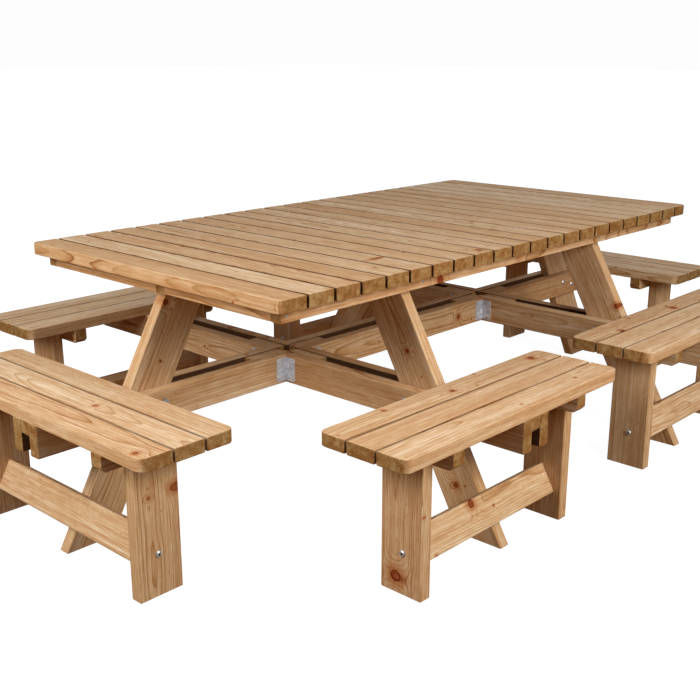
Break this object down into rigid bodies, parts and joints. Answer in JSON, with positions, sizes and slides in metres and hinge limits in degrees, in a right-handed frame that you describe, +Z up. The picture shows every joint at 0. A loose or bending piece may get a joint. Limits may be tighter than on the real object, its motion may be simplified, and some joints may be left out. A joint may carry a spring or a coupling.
{
  "type": "picnic table",
  "caption": "Large slatted timber picnic table on splayed legs, with fixed benches all round carried on paired beams and their own end legs.",
  "frame": {"origin": "on the ground, under the middle of the table", "axes": "+X along the table's length, +Y across it, +Z up"},
  "size_m": [3.035, 1.98, 0.782],
  "materials": {
    "timber": "planed, impregnated softwood, bare, with knots",
    "galvanised_steel": "hot-dip galvanised sheet, faintly spangled",
    "zinc_fasteners": "bright zinc-plated"
  },
  "bodies": {
    "root": {"beam_bolts": "zinc_fasteners", "bench_back_left_bearers": "timber", "bench_back_left_legs": "timber", "bench_back_left_seat": "timber", "bench_back_left_stretcher": "timber", "bench_back_right_bearers": "timber", "bench_back_right_legs": "timber", "bench_back_right_seat": "timber", "bench_back_right_stretcher": "timber", "bench_end_left_bearers": "timber", "bench_end_left_legs": "timber", "bench_end_left_seat": "timber", "bench_end_left_stretcher": "timber", "bench_end_right_bearers": "timber", "bench_end_right_legs": "timber", "bench_end_right_seat": "timber", "bench_end_right_stretcher": "timber", "bench_front_left_bearers": "timber", "bench_front_left_legs": "timber", "bench_front_left_seat": "timber", "bench_front_left_stretcher": "timber", "bench_front_right_bearers": "timber", "bench_front_right_legs": "timber", "bench_front_right_seat": "timber", "bench_front_right_stretcher": "timber", "bracket_screws": "zinc_fasteners", "corner_brackets_left": "galvanised_steel", "corner_brackets_right": "galvanised_steel", "cross_beams_back_left": "timber", "cross_beams_back_right": "timber", "cross_beams_front_left": "timber", "cross_beams_front_right": "timber", "frame_centre_batten": "timber", "frame_cross_battens_left": "timber", "frame_cross_battens_right": "timber", "frame_edge_batten_back": "timber", "frame_edge_batten_front": "timber", "frame_end_battens_left": "timber", "frame_end_battens_right": "timber", "leg_head_bolts": "zinc_fasteners", "long_beams_left": "timber", "long_beams_middle": "timber", "long_beams_right": "timber", "seat_screws": "zinc_fasteners", "spacer_blocks_left": "timber", "spacer_blocks_right": "timber", "stretcher_bolts": "zinc_fasteners", "table_leg_back_left": "timber", "table_leg_back_right": "timber", "table_leg_front_left": "timber", "table_leg_front_right": "timber", "table_leg_left": "timber", "table_leg_right": "timber", "tabletop_boards_1": "timber", "tabletop_boards_2": "timber", "tabletop_boards_3": "timber", "tabletop_boards_4": "timber", "tabletop_end_board_left": "timber", "tabletop_end_board_right": "timber", "tabletop_screws": "zinc_fasteners"}
  },
  "joints": []
}
